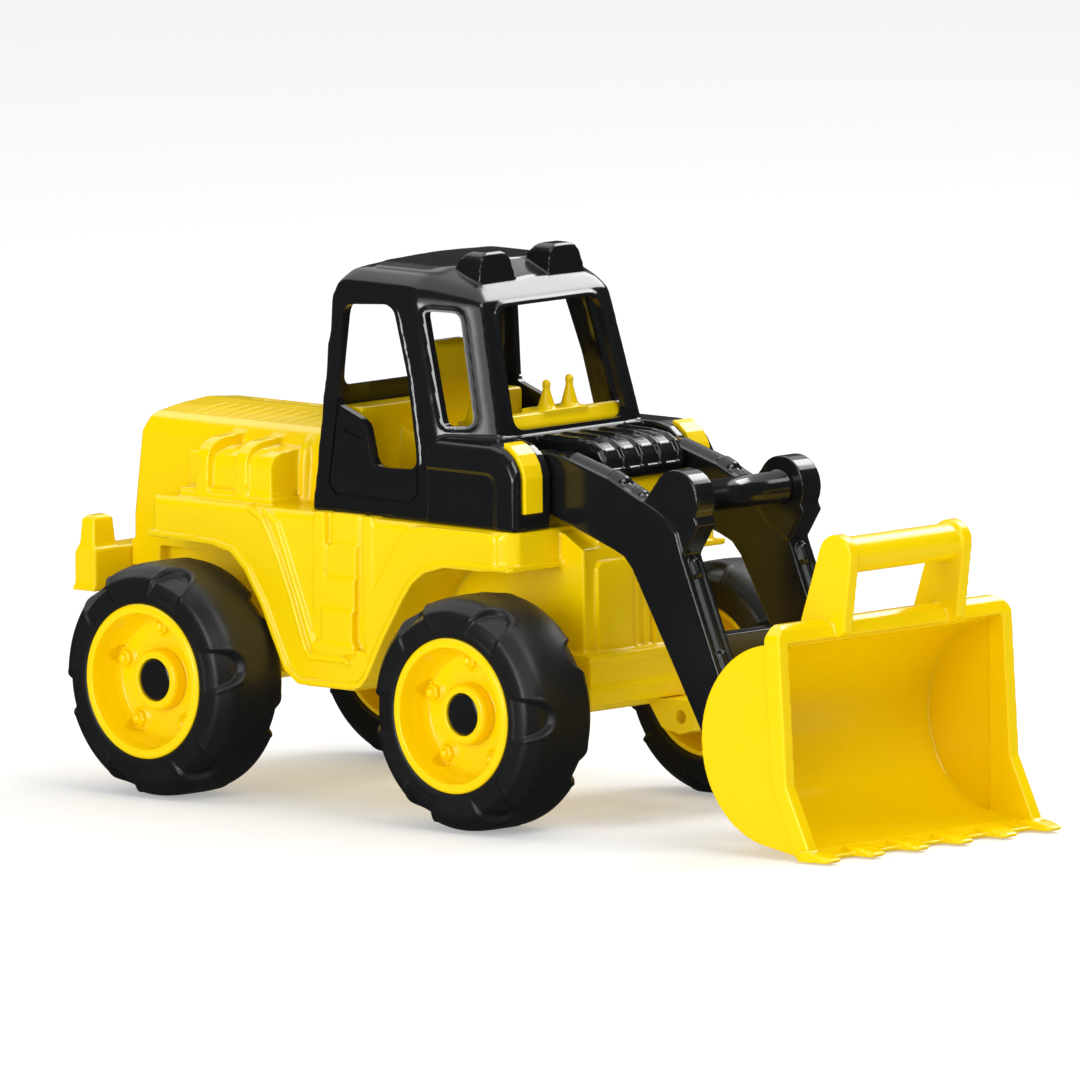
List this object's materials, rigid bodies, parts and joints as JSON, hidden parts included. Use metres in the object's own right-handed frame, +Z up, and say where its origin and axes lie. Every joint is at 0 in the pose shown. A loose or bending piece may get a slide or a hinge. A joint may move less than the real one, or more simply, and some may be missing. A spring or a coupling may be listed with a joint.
{
  "type": "toy front loader",
  "caption": "Moulded toy front loader with open cab, four free wheels, lifting arms with a grab bar, and a tilting toothed bucket with a handle.",
  "frame": {"origin": "centre of the footprint on the ground, on the symmetry plane", "axes": "+X forward towards the bucket, +Y to the toy's left, +Z up"},
  "size_m": [0.604, 0.2634, 0.319],
  "materials": {
    "yellow_plastic": "glossy moulded plastic",
    "black_plastic": "glossy moulded plastic",
    "tyre_plastic": "satin, fine grained",
    "steel": "plain drawn steel"
  },
  "bodies": {
    "chassis": {"body_shell": "yellow_plastic", "chassis_base": "yellow_plastic", "rear_bumper": "yellow_plastic", "cab_shell": "black_plastic", "cab_interior": "yellow_plastic", "lamp_insert_left": "yellow_plastic", "lamp_insert_right": "yellow_plastic", "front_axle": "steel", "front_push_nut_left": "steel", "front_push_nut_right": "steel", "rear_axle": "steel", "rear_push_nut_left": "steel", "rear_push_nut_right": "steel", "arm_pivot_shaft": "steel", "base_screw_1": "steel", "base_screw_2": "steel", "base_screw_3": "steel", "base_screw_4": "steel", "bumper_screw_left": "steel", "bumper_screw_right": "steel", "cab_screw_left": "steel", "cab_screw_right": "steel"},
    "loader_arms": {"arm_left": "black_plastic", "arm_right": "black_plastic", "grab_bar": "black_plastic", "arm_cross_bar": "black_plastic", "bucket_pin_left": "black_plastic", "bucket_pin_right": "black_plastic"},
    "bucket": {"bucket": "yellow_plastic"},
    "front_wheel_left": {"front_tyre_left": "tyre_plastic", "front_rim_left": "yellow_plastic", "front_hub_cap_left": "black_plastic"},
    "front_wheel_right": {"front_tyre_right": "tyre_plastic", "front_rim_right": "yellow_plastic", "front_hub_cap_right": "black_plastic"},
    "rear_wheel_left": {"rear_tyre_left": "tyre_plastic", "rear_rim_left": "yellow_plastic", "rear_hub_cap_left": "black_plastic"},
    "rear_wheel_right": {"rear_tyre_right": "tyre_plastic", "rear_rim_right": "yellow_plastic", "rear_hub_cap_right": "black_plastic"}
  },
  "joints": [
    {"name": "lift_arms", "type": "hinge", "parent": "chassis", "child": "loader_arms", "pos_m": [0.032, 0, 0.194], "axis": [0, -1, 0], "range_deg": [0, 50]},
    {"name": "tilt_bucket", "type": "hinge", "parent": "loader_arms", "child": "bucket", "pos_m": [0.18, 0, 0.052], "axis": [0, -1, 0], "range_deg": [-50, 35]},
    {"name": "spin_front_wheel_left", "type": "hinge", "parent": "chassis", "child": "front_wheel_left", "pos_m": [0.039, 0.1037, 0.0673], "axis": [0, 1, 0], "continuous": true},
    {"name": "spin_front_wheel_right", "type": "hinge", "parent": "chassis", "child": "front_wheel_right", "pos_m": [0.039, -0.1037, 0.0673], "axis": [0, 1, 0], "continuous": true},
    {"name": "spin_rear_wheel_left", "type": "hinge", "parent": "chassis", "child": "rear_wheel_left", "pos_m": [-0.204, 0.1037, 0.0673], "axis": [0, 1, 0], "continuous": true},
    {"name": "spin_rear_wheel_right", "type": "hinge", "parent": "chassis", "child": "rear_wheel_right", "pos_m": [-0.204, -0.1037, 0.0673], "axis": [0, 1, 0], "continuous": true}
  ]
}
